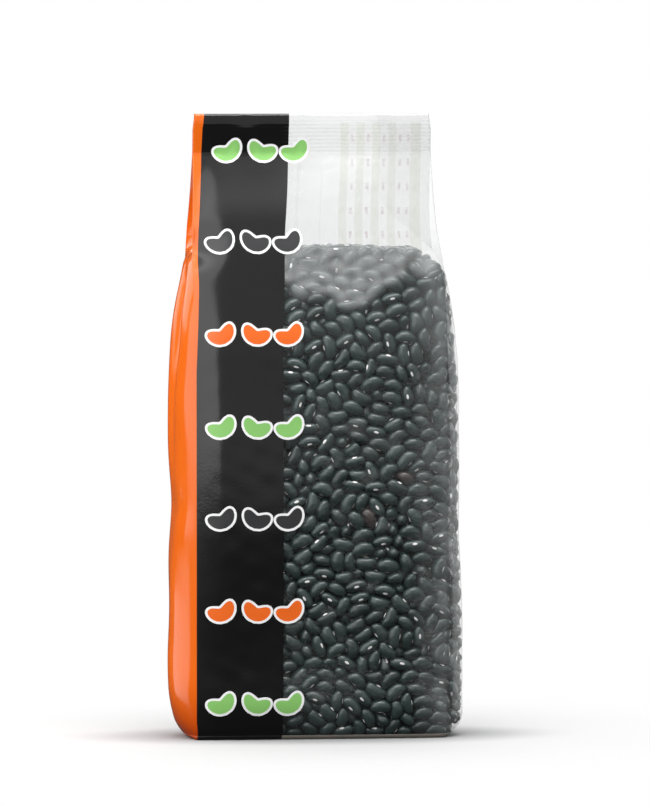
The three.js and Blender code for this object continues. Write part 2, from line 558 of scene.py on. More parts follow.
def hazeAndSheenAt(x, y, z):
    # How milky the film is, partly as painted reflection: fully above an edge that bows by a square, with a
    # painted highlight in a spot of glare, in patches of dust and painted glints, in a painted reflection
    # near the foot, in an uneven band of painted reflection towards the right gusset, and in lines along the
    # crimps
    bow = np.where(x < hazeAndSheen["middle"], hazeAndSheen["bowLeft"], hazeAndSheen["bowRight"]) * (x - hazeAndSheen["middle"]) ** 2
    bow = np.minimum(bow, hazeAndSheen["bowMost"]) + 2 * ripples(62, x, z, 20)
    onBeans = 1 - ease(bag["fillHeight"] - 6, bag["fillHeight"] + 2, z)
    # the veil over the top of the beans: haze, and partly a painted reflection of the light above
    above = ease(-hazeAndSheen["edge"], hazeAndSheen["edge"], z - hazeAndSheen["height"] - bow)
    above = above * (1 + hazeAndSheen["uneven"] * onBeans * ripples(63, x, z * 1.4, hazeAndSheen["unevenLength"]))
    # painted highlight: a bright spot on the front film only
    glare = hazeAndSheen["glare"] * spotAt(x, z, hazeAndSheen["glareSpot"]) * (y < 0)
    # patches that are partly dust and partly painted glints
    dustAndSheen = hazeAndSheen["dustAndSheen"] * onBeans * ease(0.3, 1.8, ripples(64, x, z, hazeAndSheen["dustAndSheenLength"]))
    above = np.maximum(above + glare, dustAndSheen)
    # painted reflection: a paler spot near the foot
    low = hazeAndSheen["lowSheenShare"] * spotAt(x, z, hazeAndSheen["lowSheenSpot"])
    # painted reflection: an uneven pale band towards the right gusset
    unevenSheen = 0.8 + 0.25 * ripples(61, x + y, z * 0.7, 16)
    side = ease(*hazeAndSheen["gussetBegins"], x) * unevenSheen * (1 - ease(*hazeAndSheen["gussetEnds"], z))
    crimp = np.cos(2 * np.pi * bag["crimps"] * ramp(sealStart, crimpsEnd, z))
    lines = 1 - hazeAndSheen["crimpShare"] * (0.5 + 0.5 * crimp) * (z > sealStart)
    return np.maximum(np.maximum(above * lines, low), hazeAndSheen["gussetSheenShare"] * side)


def clearPlastic():
    # Clear film that mirrors more at a slant, and is paler and less like a mirror by its haze, which is
    # partly painted reflection
    material, start = newFinish("clearFilm")
    place, cloud = clouded(start, 45, 3)
    milkAndSheen = measured(start, "hazeAndSheen")
    shine = start.node("ShaderNodeFresnel", {}, {"IOR": 1.45})
    dull = measured(start, "dull")
    shine = shine.maths("MINIMUM", 1.6 * shine, hazeAndSheen["shineMost"]) * (1 - 0.8 * dull)
    veil = shine + hazeAndSheen["milkAndSheen"] * milkAndSheen * (0.85 + 0.3 * cloud)
    pale = painted(start, milkAndSheen, *hazeAndSheen["pales"])
    seen = start.node("ShaderNodeBsdfTransparent", {}, {"Color": hazeAndSheen["through"]})
    sockets = {
        "Base Color": pale,
        "Metallic": 1.0 - 0.9 * milkAndSheen,
        "Roughness": 0.1 + 0.1 * cloud,
        "Normal": bumped(start, noise(start, place, 130, 4, 0.6), 0.35, 0.001),
    }
    endWith(start, blend(start, veil, seen, gloss(start, sockets)))
    return material


def makeFilm():
    # Two grids of rows up the bag: the shares across each are those of the panels and gussets
    z = filmRows()
    gusset = np.linspace(-1, 1, film["gussetColumns"])[None, :]
    # printed: the left gusset from back to front, then the strip on the front panel
    across = np.linspace(0, 1, film["stripColumns"])[None, :] ** 1.15
    stripShare = mixed(-1.0, stripEndShare(z), across)
    strip = panelPoints(stripShare, z, -1)
    left = gussetPoints(-gusset, z, -1)
    points = dented(np.concatenate([left[:, :-1], strip], axis=1))
    edge = (stripShare - orangeEndShare(z)) * panelHalfWidth(z)
    orange = np.full(left[:, :-1].shape[:2], -5.0)  # well inside the colour's edge
    ink = np.concatenate([orange, edge], axis=1)
    faces = [gridFaces(*points.shape[:2])]
    newPiece("printedFilm", points, faces, printedInk(), {"inkEdge": ink})
    # clear: the window on the front panel, the right gusset and the back panel
    acrossWindow = cosSpaced(2 * film["windowColumns"] - 1)[None, film["windowColumns"] - 1:]
    window = panelPoints(mixed(stripEndShare(z), 1.0, acrossWindow), z, -1)
    right = gussetPoints(gusset, z, 1)
    back = panelPoints(backShares()[None, :], z, 1)
    points = np.concatenate([window[:, :-1], right[:, :-1], back], axis=1)
    gussetColumn = np.zeros(points.shape[1])
    gussetColumn[window.shape[1]:window.shape[1] + right.shape[1] - 2] = 1.0
    folded = gussetColumn[None, :] * ease(bag["foldStart"], bag["foldStart"] + hazeAndSheen["foldClears"], z)
    # milky haze and painted reflection, except on the folded gusset
    milkAndSheen = hazeAndSheenAt(points[..., 0], points[..., 1], points[..., 2]) * (1 - folded)
    dull = np.maximum(folded, hazeAndSheen["gussetDull"] * gussetColumn[None, :] + 0 * z)
    values = {"hazeAndSheen": milkAndSheen, "dull": dull}
    newPiece("clearFilm", points, [gridFaces(*points.shape[:2])], clearPlastic(), values)


# A table printed on the back, seen through the empty top: pale bands with small dashes
table = {
    "left": 13.9,  # x of its edges, seen from the front
    "right": 52.0,
    "low": 155.0,
    "high": 276.0,
    "pitch": 7.54,  # of the bands, from the left edge
    "bandsEnd": 28.0,
    "lastBand": 33.2,
    "rowPitch": 11.0,  # of the dashes
    "dashAcross": (0.32, 0.66),  # where they are in each half band and row
    "dashUp": (0.3, 0.6),
    "offset": 0.25,
    "paperShare": 0.02,  # how much of what is behind each of them hides
    "bandShare": 0.15,
    "dashShare": 0.35,
    "papers": ((0.86, 0.86, 0.86, 1), (0.9, 0.9, 0.9, 1)),
    "band": (0.42, 0.6, 0.03, 1),
    "dash": (0.6, 0.06, 0.12, 1),
}


def repeats(length, pitch):
    # 0 to 1 along each repeat of the pitch
    scaled = length * (1 / pitch)
    return scaled.maths("FRACT", scaled)


def tablePaint():
    # Bands by the repeats across, dashes where a share across meets a share up, paper elsewhere
    material, start = newFinish("tablePrint")
    across = measured(start, "across")
    upward = measured(start, "upward")
    place, cloud = clouded(start, 120, 2)
    green = repeats(across, table["pitch"]).within(0.0, 0.5, 0.02)
    green = green * (1 - across.above(table["bandsEnd"], 0.1)) + across.above(table["lastBand"], 0.1)
    ground = painted(start, green, painted(start, cloud, *table["papers"]), table["band"])
    half = repeats(across, table["pitch"] / 2)
    row = repeats(upward, table["rowPitch"])
    ragged = noise(start, place, 1400, 1)
    dash = half.within(*table["dashAcross"], 0.04) * row.within(*table["dashUp"], 0.02)
    dash = dash * ragged.above(0.45, 0.04)
    dash = dash * (1 - 0.7 * green)
    colour = painted(start, dash, ground, table["dash"])
    ink = gloss(start, {"Base Color": colour, "Roughness": 0.4 + 0.1 * cloud})
    seen = start.node("ShaderNodeBsdfTransparent")
    hidden = table["paperShare"] + table["bandShare"] * green + table["dashShare"] * dash
    endWith(start, blend(start, hidden, seen, ink))
    return material


def makeTable():
    # A grid over the back panel's own surface, just inside it
    z = np.linspace(table["low"], table["high"], 90)[:, None]
    across = np.linspace(0, table["right"] - table["left"], 40)[None, :]
    x = (table["left"] + across) * panelHalfWidth(z) / panelHalfWidth(200.0)
    points = panelPoints(x / panelHalfWidth(z), z, 1)
    # its offset fades towards the seal, and in the seal it lies just behind the back film
    points[..., 1] -= table["offset"] * (ease(0, 12, sealStart - z) - 0.4 * (z > sealStart))
    values = {"across": across + 0 * z, "upward": z + 0 * across}
    faces = [gridFaces(*points.shape[:2])[:, ::-1]]
    newPiece("backTable", points, faces, tablePaint(), values)


# The print's repeated motif: three plain beans with a white outline, seven times down the strip
motif = {
    "middle": -29.8,  # x of each group's middle
    "topMiddle": -22.6,  # and of the topmost one's
    "heights": (263.0, 222.6, 181.5, 140.0, 99.0, 57.5, 16.0),
    "spacing": 15.2,
    "halfLength": 3.5,  # of the curved line along its middle
    "radius": 4.1,  # round that line
    "outline": 1.1,
    "rings": (2.4, 3.6),  # how far in from its edge the ink's rings are
    "around": 56,
    "bend": 1.9,
    "tilts": (24, -16, 24),  # degrees
    "proud": 0.14,  # how far it lies in front of the film
    "inks": ((0.25, 0.56, 0.15, 1), (0.03, 0.03, 0.032, 1), (0.85, 0.14, 0.01, 1)),
}


def motifPaint():
    # White as far in as the outline is wide, then one ink of three by the group's place
    material, start = newFinish("motifPrint")
    inside = measured(start, "inside")
    which = measured(start, "which")
    cloud = clouded(start, 200, 2)[1]
    first, second, third = motif["inks"]
    ink = painted(start, which.above(0.5, 0.1), first, second)
    ink = painted(start, which.above(1.5, 0.1), ink, third)
    colour = painted(start, inside.above(motif["outline"], 0.08), (0.9, 0.9, 0.9, 1), ink)
    endWith(start, gloss(start, {"Base Color": colour, "Roughness": 0.2 + 0.08 * cloud}))
    return material


def makeMotifs():
    # Rings in from each bean's outline, which keeps a radius from a line that bends by a square
    depth = np.array([0.0, motif["outline"], *motif["rings"]])[:, None]
    angle = turns(motif["around"])[None, :]
    share = np.sign(np.cos(angle)) * np.abs(np.cos(angle)) ** 0.55
    turned = angle + np.arctan(2 * motif["bend"] * share / motif["halfLength"])
    along = motif["halfLength"] * share + (motif["radius"] - depth) * np.cos(turned)
    across = motif["bend"] * (share**2 - 0.5) + (motif["radius"] - depth) * np.sin(turned)
    allPoints, allInside, allWhich, faces = [], [], [], []
    grid = gridFaces(len(depth), motif["around"], closed=True)
    lid = (np.arange(motif["around"]) + (len(depth) - 1) * motif["around"])[None, :]
    for place, height in enumerate(motif["heights"]):
        for step, tilt in zip((-1, 0, 1), motif["tilts"]):
            turn = math.radians(tilt)
            x = mixed(motif["middle"], motif["topMiddle"], ease(200, 265, height)) + step * motif["spacing"]
            x = x + along * math.cos(turn) - across * math.sin(turn)
            z = np.clip(height + along * math.sin(turn) + across * math.cos(turn), 1, bag["height"] - 1)
            points = panelPoints(x / panelHalfWidth(z), z, -1)
            points[..., 1] -= motif["proud"]
            start = len(allPoints) * points[..., 0].size
            faces += [grid + start, lid + start]
            allPoints.append(dented(points).reshape(-1, 3))
            allInside.append(np.broadcast_to(depth, along.shape).ravel())
            allWhich.append(np.full(along.size, place % 3))
    values = {"inside": np.concatenate(allInside), "which": np.concatenate(allWhich)}
    newPiece("motifs", np.concatenate(allPoints), faces, motifPaint(), values)


# The folded base, and the hem of it that shows round the clear sides
base = {
    "hem": 1.6,
    "proud": 0.12,
    "folds": (0.0085, 0.0092),  # metres from the middle line
    "milky": ((0.13, 0.115, 0.1, 1), (0.24, 0.215, 0.185, 1)),
    "milkyFold": (0.08, 0.07, 0.06, 1),
    "black": (0.008, 0.008, 0.0085, 1),
    "blackFold": (0.03, 0.03, 0.03, 1),
    "orange": (0.5, 0.055, 0.001, 1),
    "orangeEnd": -0.0557,  # metres, as on the front
    "blackEnd": -0.0177,
}


def basePaint():
    # Orange, black and milky from left to right, with a fold at a distance each side of the middle
    material, start = newFinish("foldedBase")
    place, cloud = clouded(start, 80, 3)
    x, y = [start.node("ShaderNodeSeparateXYZ", {}, {0: place}, out=side) for side in (0, 1)]
    fold = y.maths("ABSOLUTE", y).within(*base["folds"], 0.0003)
    milky = painted(start, cloud, *base["milky"])
    milky = painted(start, fold * 0.5, milky, base["milkyFold"])
    black = painted(start, fold * 0.3, base["black"], base["blackFold"])
    printed = painted(start, x.above(base["orangeEnd"], 0.0002), base["orange"], black)
    colour = painted(start, x.above(base["blackEnd"], 0.0001), printed, milky)
    folded = bumped(start, fold, 0.4, 0.0004)
    endWith(start, gloss(start, {"Base Color": colour, "Roughness": 0.25 + 0.1 * cloud, "Normal": folded}))
    return material


def footRing(height, grow):
    # The film's ring at a height, moved outwards, from the front's left corner round by the right
    z = np.array([[height]])
    share = cosSpaced(40)[None, :]
    gusset = np.linspace(-1, 1, 24)[None, :]
    front, back = panelPoints(share, z, -1), panelPoints(-share, z, 1)
    right, left = gussetPoints(gusset, z, 1), gussetPoints(-gusset, z, -1)
    ring = np.concatenate([side[0, :-1] for side in (front, right, back, left)])
    away = ring[:, :2] / np.array([bag["footHalfWidth"] + 10, bag["footHalfDepth"] + 5])
    ring[:, :2] += grow * away / np.maximum(np.linalg.norm(away, axis=1, keepdims=True), 0.01)
    return ring


def makeBase():
    # Rings from the hem's top edge down to the floor, then the last one made smaller to the middle
    high, proud = base["hem"], base["proud"]
    hem = [footRing(high, 0.05), footRing(high, proud), footRing(0.0, proud)]
    under = [hem[2] * np.array([size, size, 1]) for size in (0.98, 0.6, 0.25, 0.0)]
    points = np.stack(hem + under)
    points[0, :, 2] += 0.1
    faces = [gridFaces(*points.shape[:2], closed=True)[:, ::-1]]
    newPiece("foldedBase", points, faces, basePaint())


# The beans, packed as chains of three balls that push each other apart inside the film
beans = {
    "length": 10.0,
    "lengthSpread": 0.55,
    "lengths": (8.7, 11.3),  # the least and the most
    "width": 0.66,  # of the length
    "thickness": 0.54,
    "shell": 15.0,  # depth below the film that is packed
    "shown": 10.5,  # depth below clear film that is kept
    "share": 0.74,  # of the room that they fill
    "flatten": 0.14,  # how much each round lays beans at the film flat to it
    "flattenDepth": 6.0,
    "level": 0.03,  # and turns all of them towards lying level
    "press": 0.15,  # and pushes those near it outwards, in mm
    "pressDepth": 5.0,
    "box": (68.0, 29.0),  # half width and half depth of the box that places are drawn in
    "tries": 60000,
    "rounds": 140,
    "pairRounds": 8,  # near pairs are found again after this many rounds
    "pairReach": 2.3,  # in mean radii
    "push": 0.32,  # how much of an overlap each ball gives way in a round
    "frontMesh": (7, 10),  # rings of each bean, and points round it
    "farMesh": (5, 8),
    "bend": 0.1,
    "seed": 41,
    "flatTop": 45.0,  # half width over which the heap's top is level
    "cornerDrop": 10.0,
    "crowd": 45,  # more beans are pressed in beside the clear gusset
    "margin": 0.15,  # between the beans and the film
    "printMargin": 3.2,  # more of it behind the printed film
    "touchReach": 1.3,  # beans nearer than this to the panels are moved out to them
    "gussetReach": 3.2,  # and those nearer than this to the gussets
    "clear": 0.2,  # they stop this far short of the panels
    "slates": ((0.0075, 0.021, 0.02, 1), (0.025, 0.0495, 0.047, 1)),
    "dustAndSheen": (0.034, 0.052, 0.05, 1),
    "brown": (0.036, 0.026, 0.023, 1),
    "browns": 0.993,  # beans whose tint is above this are brown
}


def roomAt(points):
    # Distances in from a gusset's film and from a panel's, and down from the top of the fill
    z = points[:, 2]
    x, y = points[:, 0] - leanAt(z), points[:, 1]
    share = np.clip(np.abs(x) / panelHalfWidth(z), 0, 1)
    depthShare = np.clip(y / np.maximum(panelHalfDepth(z), 1), -1, 1)
    inY = panelHalfDepth(z) + panelSwellAt(z) * (1 - share**5) - np.abs(y)
    left, right = [gussetOut(depthShare, z, side) for side in (-1, 1)]
    inX = panelHalfWidth(z) + np.where(x < 0, left, right + wrinkles["gussetPush"]) - np.abs(x)
    corner = np.maximum(np.abs(x) - beans["flatTop"], 0) / (bag["filledHalfWidth"] - beans["flatTop"])
    top = bag["fillHeight"] - 2.0 + 0.5 * np.sin(x * 0.11 + 0.4) - beans["cornerDrop"] * corner**2 - z
    inX = inX - beans["margin"] - beans["printMargin"] * ease(-30, -40, x)
    inY = inY - beans["margin"] - beans["printMargin"] * ease(-18, -24, x) * (y < 0)
    return inX, inY, top


def nearestWall(points):
    # How far each point is from the nearest of gusset, panel, top and floor, and the way out to it
    inside = np.stack([*roomAt(points), points[:, 2]])
    nearest = inside.argmin(0)
    across = np.sign(points[:, 0]) * (nearest == 0)
    deep = np.sign(points[:, 1]) * (nearest == 1)
    return inside.min(0), stacked(across, deep, (nearest == 2) * 1.0 - (nearest == 3) * 1.0)


def nearPairs(points, owner, reach):
    # Every pair of balls of two beans within reach, found by sorting them into cells of that size
    cells = np.floor((points - points.min(0)) / reach).astype(int) + 1
    size = cells.max(0) + 2
    key = (cells[:, 0] * size[1] + cells[:, 1]) * size[2] + cells[:, 2]
    order = np.argsort(key, kind="stable")
    ordered = key[order]
    found = []
    steps = [(a, b, c) for a in (-1, 0, 1) for b in (-1, 0, 1) for c in (-1, 0, 1)]
    for a, b, c in steps[13:]:
        target = key + (a * size[1] + b) * size[2] + c
        first = np.searchsorted(ordered, target, "left")
        count = np.searchsorted(ordered, target, "right") - first
        one = np.repeat(np.arange(len(points)), count)
        place = np.arange(count.sum()) - np.repeat(np.cumsum(count) - count, count)
        other = order[np.repeat(first, count) + place]
        keep = (owner[one] != owner[other]) & ((one < other) | ((a, b, c) != (0, 0, 0)))
        keep &= ((points[one] - points[other]) ** 2).sum(1) < reach * reach
        found.append(np.stack([one[keep], other[keep]]))
    return np.concatenate(found, axis=1)


def keptInside(points, radius):
    # Moves each ball in until it is a radius from the film, then out to the packed shell, and those
    # near the film a little further out
    inX, inY, top = roomAt(points)
    points[:, 0] += np.sign(points[:, 0]) * np.minimum(inX - radius, 0)
    points[:, 1] += np.sign(points[:, 1]) * np.minimum(inY - radius, 0)
    points[:, 2] += np.minimum(top - radius, 0)
    points[:, 2] = np.maximum(points[:, 2], radius + 0.4)
    depth, outward = nearestWall(points)
    over = np.maximum(depth - beans["shell"], 0) + beans["press"] * (depth < radius + beans["pressDepth"])
    return points + outward * over[:, None]


def unit(vectors):
    # Each vector over its own length
    return vectors / np.maximum(np.linalg.norm(vectors, axis=-1, keepdims=True), 1e-9)


def packedBeans():
    # Random beans in the shell, flat to the film, then rounds of pushing overlapping balls apart
    draw = np.random.default_rng(beans["seed"])
    wide, deep = beans["box"]
    low = np.array([-wide, -deep, 0.0])
    high = np.array([wide, deep, bag["fillHeight"]])
    tries = draw.uniform(low, high, (beans["tries"], 3))
    depth = nearestWall(tries)[0]
    room = (depth > 0) & (depth < beans["shell"])
    length = beans["length"]
    radius = length * (beans["width"] + beans["thickness"]) / 4
    bulk = np.pi * radius**2 * (length - 2 * radius) + 4 / 3 * np.pi * radius**3
    count = int(beans["share"] * room.mean() * np.prod(high - low) / bulk)
    spare = tries[room][count:]
    crowd = spare[spare[:, 0] > bag["filledHalfWidth"]][:beans["crowd"]]
    centre = np.concatenate([tries[room][:count], crowd])
    count = len(centre)
    lengths = np.clip(draw.normal(length, beans["lengthSpread"], count), *beans["lengths"])
    radii = radius * lengths / length * draw.uniform(0.95, 1.04, count)
    half = lengths / 2 - radii
    normal = nearestWall(centre)[1]
    level = unit(np.cross(normal + draw.normal(0, 0.05, (count, 3)), [0, 0, 1.0]))
    turn = np.where(draw.random(count) < 0.75, draw.normal(0, 0.5, count), draw.uniform(0, np.pi, count))
    axis = level * np.cos(turn)[:, None] + unit(np.cross(normal, level)) * np.sin(turn)[:, None]
    axis = unit(axis + normal * draw.normal(0, 0.2, (count, 1)))
    owner = np.repeat(np.arange(count), 3)
    ballRadius = np.repeat(radii, 3)
    steps = np.array([-1.0, 0.0, 1.0])[None, :, None]
    balls = (centre[:, None] + axis[:, None] * half[:, None, None] * steps).reshape(-1, 3)
    for turnNumber in range(beans["rounds"]):
        if turnNumber % beans["pairRounds"] == 0:
            one, other = nearPairs(balls, owner, beans["pairReach"] * radius)
        apart = balls[other] - balls[one]
        distance = np.maximum(np.sqrt((apart**2).sum(1)), 1e-6)
        overlap = np.maximum(ballRadius[one] + ballRadius[other] - distance, 0)
        move = apart * (beans["push"] * overlap / distance)[:, None]
        for side in range(3):
            balls[:, side] += np.bincount(other, move[:, side], len(balls))
            balls[:, side] -= np.bincount(one, move[:, side], len(balls))
        balls = keptInside(balls, ballRadius)
        chain = balls.reshape(-1, 3, 3)
        centre = chain.mean(1)
        axis = unit(chain[:, 2] - chain[:, 0])
        depth, normal = nearestWall(centre)
        turned = normal * (beans["flatten"] * (depth < beans["flattenDepth"]))[:, None]
        axis -= turned * (axis * normal).sum(1, keepdims=True)
        axis = unit(axis * np.array([1, 1, 1 - beans["level"]]))
        balls = (centre[:, None] + axis[:, None] * half[:, None, None] * steps).reshape(-1, 3)
    print("packed", count, "beans, mean overlap", round(float(overlap.mean()), 3), "mm")
    return centre, axis, lengths, draw


def shownBeans(centre):
    # Those near clear film: the window, the right gusset, the back and the top
    inX, inY, top = roomAt(centre)
    x, y = centre[:, 0], centre[:, 1]
    besideWindow = np.maximum(bag["filledHalfWidth"] * stripEndShare(0) - x, 0)
    front = np.where(y < 0, np.hypot(inY, besideWindow), 99)
    right = np.where(x > 0, inX, 99)
    back = np.where(y > 0, inY, 99)
    return np.minimum(np.minimum(front, right), np.minimum(back, top)) < beans["shown"]


def beanShape(rings, around):
    # Rings round the long axis: a blunt round end to end, flattened, and bent towards its eye
    theta = np.linspace(0, np.pi, rings + 2)[1:-1, None]
    phi = turns(around)[None, :]
    thick = np.sin(theta) ** 0.86
    along = 0.5 * np.cos(theta) * (1 - 0.06 * np.sin(theta) ** 2)
    across = 0.5 * thick * np.cos(phi) * (1 - 0.1 * (np.cos(phi) > 0) * np.sin(theta) ** 6)
    up = 0.5 * thick * np.sin(phi)
    rings = stacked(along, across, up).reshape(-1, 3)
    return np.concatenate([rings, [[0.5, 0, 0], [-0.5, 0, 0]]])


def beanFaces(rings, around):
    # The rings joined, and a fan at each end
    sides = gridFaces(rings, around, closed=True)[:, ::-1]
    step = np.arange(around)
    ahead = (step + 1) % around
    firstEnd = stacked(rings * around, step, ahead)
    last = (rings - 1) * around
    lastEnd = stacked(rings * around + 1, last + ahead, last + step)
    return sides, np.concatenate([firstEnd, lastEnd])


def repeated(faces, count, points):
    # The same faces for each copy of a shape that has that many points
    return (faces[None] + (np.arange(count) * points)[:, None, None]).reshape(-1, faces.shape[1])


def beanSkin():
    # Slate from dark to pale by the bean's tint, dusty in clouds, and a few beans brown
    material, start = newFinish("beanSkin")
    place, cloud = clouded(start, 260, 3)
    tint = measured(start, "tint")
    slate = painted(start, tint, *beans["slates"])
    slate = painted(start, cloud.above(0.6, 0.2) * 0.4, slate, beans["dustAndSheen"])
    colour = painted(start, tint.above(beans["browns"], 0.002), slate, beans["brown"])
    sockets = {
        "Base Color": colour,
        "Roughness": 0.32 + 0.2 * cloud,
        "Specular IOR Level": 0.44,
        "Coat Weight": 0.5,
        "Coat Roughness": 0.09,
        "Normal": bumped(start, noise(start, place, 700, 3), 0.2, 0.0003),
    }
    endWith(start, gloss(start, sockets))
    return material


eyes = {
    "halfLength": 1.2,
    "halfWidth": 0.55,
    "around": 8,
    "proud": 0.25,
    "pales": ((0.85, 0.84, 0.82, 1), (0.97, 0.97, 0.95, 1)),
}


def eyeSkin():
    # Two near whites, by a fine cloud
    material, start = newFinish("eyeSkin")
    cloud = clouded(start, 900, 2)[1]
    colour = painted(start, cloud.above(0.5, 0.2), *eyes["pales"])
    sockets = {"Base Color": colour, "Roughness": 0.24 + 0.1 * cloud, "Specular IOR Level": 0.9}
    endWith(start, gloss(start, sockets))
    return material


def makeBeans():
    # Each packed bean gets a way that its flat side faces, and a width, thickness, bend and tint
    centre, axis, lengths, draw = packedBeans()
    keep = shownBeans(centre)
    centre, axis, lengths = centre[keep], axis[keep], lengths[keep]
    count = len(centre)
    outward = nearestWall(centre)[1]
    flat = outward + draw.normal(0, 0.5, (count, 3))
    onEdge = draw.random(count) < 0.3
    flat[onEdge] = np.cross(flat[onEdge], axis[onEdge]) + draw.normal(0, 0.4, (onEdge.sum(), 3))
    thickWay = unit(flat - axis * (flat * axis).sum(1, keepdims=True))
    # some beans turn their eye's side towards the film
    inwards = (np.cross(thickWay, axis) * outward).sum(1) < 0
    thickWay[inwards & (draw.random(count) < 0.4)] *= -1
    wideWay = np.cross(thickWay, axis)
    turned = np.stack([axis, wideWay, thickWay], axis=1)
    width = beans["width"] * draw.uniform(0.94, 1.06, count)
    thickness = beans["thickness"] * draw.uniform(0.94, 1.06, count)
    bend = beans["bend"] * draw.uniform(0.5, 1.4, count)
    tint = draw.random(count)
    shapes = [turned, lengths, width, thickness, bend]
    centre = drawnIn(centre, shapes)
    front = (centre[:, 1] < 0) & (bag["filledHalfDepth"] + bag["panelSwell"] + centre[:, 1] < 14)
    skin = beanSkin()
    joinBeans("beansFront", front, beans["frontMesh"], skin, tint, centre, shapes)
    joinBeans("beansRound", ~front, beans["farMesh"], skin, tint, centre, shapes)
    makeEyes(centre, lengths, turned, width, bend)


def turnedBeans(shape, turned, lengths, width, thickness, bend):
    # The shape stretched, bent towards its ends and turned for each bean, about its middle
    along, across, up = shape[None, :, 0], shape[None, :, 1], shape[None, :, 2]
    wide, thick, bent = width[:, None], thickness[:, None], bend[:, None]
    local = stacked(along, across * wide + bent * (4 * along**2 - 0.35), up * thick)
    return (local * lengths[:, None, None]) @ turned


def drawnIn(centre, shapes):
    # Moves each bean to the film where its furthest point is close to it or past it. The gussets'
    # push fades towards the corner folds and the floor.
    points = centre[:, None] + turnedBeans(beanShape(*beans["farMesh"]), *shapes)
    for outwards in (1, 0, 0, 0):
        depthShare = np.minimum(np.abs(points[..., 1]) / panelHalfDepth(points[..., 2]), 1)
        pushed = (1 - depthShare**4) * offFloor(points[..., 2])
        inX, inY, top = [room.reshape(points.shape[:2]) for room in roomAt(points.reshape(-1, 3))]
        inX = (inX - wrinkles["gussetPush"] * (1 - pushed)).min(1)
        inY = inY.min(1) - beans["clear"]
        low = points[..., 2].min(1) - 0.3
        top = top.min(1) - beans["clear"]
        move = stacked(
            np.sign(centre[:, 0]) * inX * (inX < outwards * beans["gussetReach"]),
            np.sign(centre[:, 1]) * inY * (inY < outwards * beans["touchReach"]),
            np.minimum(top, 0) - np.minimum(low, 0),
        )
        centre = centre + move
        points = points + move[:, None]
    return centre


def joinBeans(name, chosen, mesh, skin, tint, centre, shapes):
    # One piece of the chosen beans, each with the mesh's rings and points round
    shape = beanShape(*mesh)
    points = centre[chosen, None] + turnedBeans(shape, *[value[chosen] for value in shapes])
    faces = [repeated(part, int(chosen.sum()), len(shape)) for part in beanFaces(*mesh)]
    newPiece(name, points, faces, skin, {"tint": np.repeat(tint[chosen], len(shape))})


def makeEyes(centre, lengths, turned, width, bend):
    # A low oval on each bean's hollow side: a rim in the skin and a middle that stands proud
    angle = turns(eyes["around"])
    along, across = eyes["halfLength"] * np.cos(angle), eyes["halfWidth"] * np.sin(angle)
    oval = np.concatenate([stacked(along, 0, across), [[0, eyes["proud"], 0]]])
    hollow = lengths * (0.45 * width - 0.35 * bend) + 0.06
    local = oval[None] + stacked(0, hollow, 0)[:, None]
    points = centre[:, None] + local @ turned
    step = np.arange(eyes["around"])
    fan = stacked(step, eyes["around"], (step + 1) % eyes["around"])
    newPiece("beanEyes", points, [repeated(fan, len(centre), len(oval))], eyeSkin())


# A near-black solid of painted shade inside the heap, where deeper beans would lie in shade
core = {
    "inset": 9.5,  # depth below the film
    "rows": 60,
    "around": 90,
    "swells": (0.7, 0.8),  # share of the gussets' and of the panels' swell
    "lump": 0.05,
    "power": 0.45,  # the lower, the squarer
    "paintedShades": ((0.004, 0.005, 0.006, 1), (0.014, 0.018, 0.019, 1)),
}


def makeCore():
    # The dark middle of the heap, a painted shade in place of the shaded beans deep inside it: the film's
    # own rings drawn in, and closed at both ends. The cosine and sine to a low power make each one a rounded
    # rectangle.
    inset = core["inset"]
    rows = np.linspace(inset, bag["fillHeight"] - inset, core["rows"])
    z = np.concatenate([rows[:1], rows, rows[-1:]])[:, None]
    angle = turns(core["around"])[None, :]
    left, right = [gussetSwellAt(z, gussets[side]) for side in (-1, 1)]
    wide = panelHalfWidth(z) + core["swells"][0] * np.where(np.cos(angle) < 0, left, right) - inset
    deep = np.maximum(panelHalfDepth(z) + core["swells"][1] * panelSwellAt(z) - inset, 1.0)
    lump = 1 + core["lump"] * ripples(51, 60 * angle / np.pi, z, 9)
    shut = np.ones_like(z)
    shut[[0, -1]] = 0.0
    power = core["power"]
    x = wide * lump * shut * np.sign(np.cos(angle)) * np.abs(np.cos(angle)) ** power
    y = deep * lump * shut * np.sign(np.sin(angle)) * np.abs(np.sin(angle)) ** power
    points = stacked(x, y, z)
    material, start = newFinish("heapPaintedShade")
    cloud = clouded(start, 150, 3)[1]
    # painted shade: near-black in place of the beans deep in the heap
    colour = painted(start, cloud, *core["paintedShades"])
    endWith(start, gloss(start, {"Base Color": colour, "Roughness": 0.6 + 0.2 * cloud}))
    newPiece("heapCore", points, [gridFaces(*points.shape[:2], closed=True)], material)


studio = {
    "distance": 4.0,
    "azimuth": 7.0,  # degrees to the left of straight on
    "elevation": 3.0,
    "shownHeight": 0.3629,  # metres of the bag's middle plane that fill the frame's height
    "sensor": 36.0,
    "aim": (0.0045, 0.0, 0.1497),
    "lampsAim": (0, 0, 0.14),
}


def wayTo(turn, rise):
    # The unit vector that much to the right of straight on and up
    return Vector((math.sin(turn) * math.cos(rise), -math.cos(turn) * math.cos(rise), math.sin(rise)))


def makeCamera():
    # The lens is the sensor's size times the distance, over what fills the frame
    camera = placed("camera", bpy.data.cameras.new("camera"))
    turn, rise = math.radians(studio["azimuth"]), math.radians(studio["elevation"])
    camera.location = Vector(studio["aim"]) + wayTo(-turn, rise) * studio["distance"]
    camera.rotation_euler = (math.pi / 2 - rise, 0, -turn)
    camera.data.sensor_width = studio["sensor"]
    camera.data.lens = studio["sensor"] * studio["distance"] / studio["shownHeight"]
    camera.data.clip_start, camera.data.clip_end = 0.05, 20
    bpy.context.scene.camera = camera


